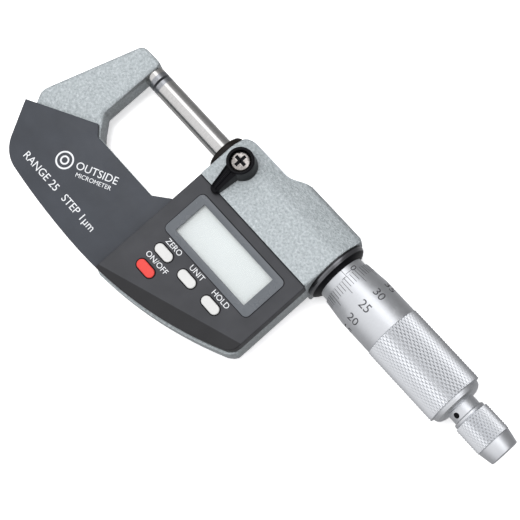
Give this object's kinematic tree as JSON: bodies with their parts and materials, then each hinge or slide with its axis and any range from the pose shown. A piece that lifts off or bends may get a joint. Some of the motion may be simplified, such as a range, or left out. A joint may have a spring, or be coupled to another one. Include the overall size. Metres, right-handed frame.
{
  "type": "outside micrometer",
  "caption": "Digital outside micrometer with a C frame, graduated sleeve and thimble, slipping ratchet, spindle lock lever, keyed display housing and battery cover.",
  "frame": {"origin": "centre of the anvil's measuring face, on the spindle's axis", "axes": "+X from the anvil along the spindle to the ratchet, +Y away from the belly of the frame, +Z out of the display; the tool lies on its back"},
  "size_m": [0.1692, 0.0625, 0.0268],
  "materials": {
    "frame": "hammertone silver paint",
    "anvil": "ground",
    "anvil_tip": "lapped carbide",
    "front_plate": "fine matt",
    "rear_plate": "fine matt",
    "display_housing": "fine matt",
    "window_bezel": "gloss",
    "window_lens": "clear",
    "lcd_panel": "pale reflective display",
    "zebra_strips": "matt",
    "circuit_board": "solder mask",
    "key_switches": "tinned",
    "button_zero": "satin",
    "button_units": "satin",
    "button_hold": "satin",
    "button_power": "satin red",
    "rear_cover": "fine matt",
    "cover_screws": "machined",
    "battery": "nickel",
    "battery_contact": "plated",
    "battery_seal": "matt",
    "battery_cover": "fine matt",
    "data_socket": "matt",
    "data_port_cover": "matt",
    "nose_ring": "satin",
    "nose_seal": "matt",
    "front_bush": "ground",
    "encoder_stator": "solder mask",
    "stator_carrier": "moulded",
    "flex_cable": "film",
    "encoder_rotor": "solder mask",
    "rotor_hub": "turned",
    "rotor_key": "ground",
    "ring_washer": "turned",
    "rear_ring": "satin",
    "inner_sleeve": "turned",
    "sleeve": "satin chrome",
    "adjusting_nut": "turned",
    "spindle": "ground and polished",
    "spindle_tip": "lapped carbide",
    "thimble": "satin chrome",
    "thimble_end_cap": "satin chrome",
    "ratchet_base": "satin chrome",
    "ratchet_crown": "hardened",
    "ratchet_knob": "satin chrome",
    "ratchet_spring": "spring steel",
    "ratchet_screw": "machined",
    "ratchet_end_cap": "satin chrome",
    "lock_lever": "satin",
    "lock_screw": "bright nickel",
    "lock_stud": "machined",
    "lock_pad": "turned"
  },
  "bodies": {
    "frame": {"frame": "frame", "anvil": "anvil", "anvil_tip": "anvil_tip", "front_plate": "front_plate", "rear_plate": "rear_plate", "display_housing": "display_housing", "window_bezel": "window_bezel", "window_lens": "window_lens", "lcd_panel": "lcd_panel", "zebra_strips": "zebra_strips", "circuit_board": "circuit_board", "key_switches": "key_switches", "rear_cover": "rear_cover", "cover_screws": "cover_screws", "battery": "battery", "battery_contact": "battery_contact", "data_socket": "data_socket", "nose_ring": "nose_ring", "nose_seal": "nose_seal", "front_bush": "front_bush", "encoder_stator": "encoder_stator", "stator_carrier": "stator_carrier", "flex_cable": "flex_cable", "ring_washer": "ring_washer", "rear_ring": "rear_ring", "inner_sleeve": "inner_sleeve", "sleeve": "sleeve", "adjusting_nut": "adjusting_nut"},
    "rotor": {"encoder_rotor": "encoder_rotor", "rotor_hub": "rotor_hub", "rotor_key": "rotor_key"},
    "spindle": {"spindle": "spindle", "spindle_tip": "spindle_tip", "thimble": "thimble", "thimble_end_cap": "thimble_end_cap", "ratchet_base": "ratchet_base", "ratchet_screw": "ratchet_screw"},
    "ratchet": {"ratchet_crown": "ratchet_crown", "ratchet_knob": "ratchet_knob", "ratchet_spring": "ratchet_spring", "ratchet_end_cap": "ratchet_end_cap"},
    "lock_lever": {"lock_lever": "lock_lever", "lock_screw": "lock_screw", "lock_stud": "lock_stud"},
    "lock_pad": {"lock_pad": "lock_pad"},
    "button_zero": {"button_zero": "button_zero"},
    "button_units": {"button_units": "button_units"},
    "button_hold": {"button_hold": "button_hold"},
    "button_power": {"button_power": "button_power"},
    "battery_seal": {"battery_seal": "battery_seal"},
    "battery_cover": {"battery_cover": "battery_cover"},
    "data_port_cover": {"data_port_cover": "data_port_cover"}
  },
  "joints": [
    {"name": "thimble_spin", "type": "hinge", "parent": "frame", "child": "rotor", "pos_m": [0.064, 0, 0], "axis": [1, 0, 0], "range_deg": [-560, 17460]},
    {"name": "spindle_feed", "type": "slide", "parent": "rotor", "child": "spindle", "axis": [1, 0, 0], "range_m": [-0.00077, 0.02423]},
    {"name": "ratchet_spin", "type": "hinge", "parent": "spindle", "child": "ratchet", "pos_m": [0.138, 0, 0], "axis": [1, 0, 0], "continuous": true},
    {"name": "lock_lever_turn", "type": "hinge", "parent": "frame", "child": "lock_lever", "pos_m": [0.0391, 0, 0.01], "axis": [0, 0, 1], "range_deg": [-60, 0]},
    {"name": "lock_pad_press", "type": "slide", "parent": "frame", "child": "lock_pad", "axis": [0, 0, -1], "range_m": [0, 0.00005]},
    {"name": "button_zero_press", "type": "slide", "parent": "frame", "child": "button_zero", "axis": [0, 0, -1], "range_m": [0, 0.0005], "stiffness_N_per_m": 400},
    {"name": "button_units_press", "type": "slide", "parent": "frame", "child": "button_units", "axis": [0, 0, -1], "range_m": [0, 0.0005], "stiffness_N_per_m": 400},
    {"name": "button_hold_press", "type": "slide", "parent": "frame", "child": "button_hold", "axis": [0, 0, -1], "range_m": [0, 0.0005], "stiffness_N_per_m": 400},
    {"name": "button_power_press", "type": "slide", "parent": "frame", "child": "button_power", "axis": [0, 0, -1], "range_m": [0, 0.0005], "stiffness_N_per_m": 400},
    {"name": "battery_cover_lift", "type": "slide", "parent": "frame", "child": "battery_seal", "axis": [0, 0, -1], "range_m": [0, 0.004]},
    {"name": "battery_cover_turn", "type": "hinge", "parent": "battery_seal", "child": "battery_cover", "pos_m": [0.062, -0.025, -0.01], "axis": [0, 0, -1], "range_deg": [0, 1445]},
    {"name": "data_port_cover_pull", "type": "slide", "parent": "frame", "child": "data_port_cover", "axis": [0, -1, 0], "range_m": [0, 0.01]}
  ],
  "couplings": [
    {"joint": "thimble_spin", "follows": "spindle_feed", "rad_per_m": 12566},
    {"joint": "lock_lever_turn", "follows": "lock_pad_press", "rad_per_m": -20909},
    {"joint": "battery_cover_turn", "follows": "battery_cover_lift", "rad_per_m": 6283.2}
  ]
}
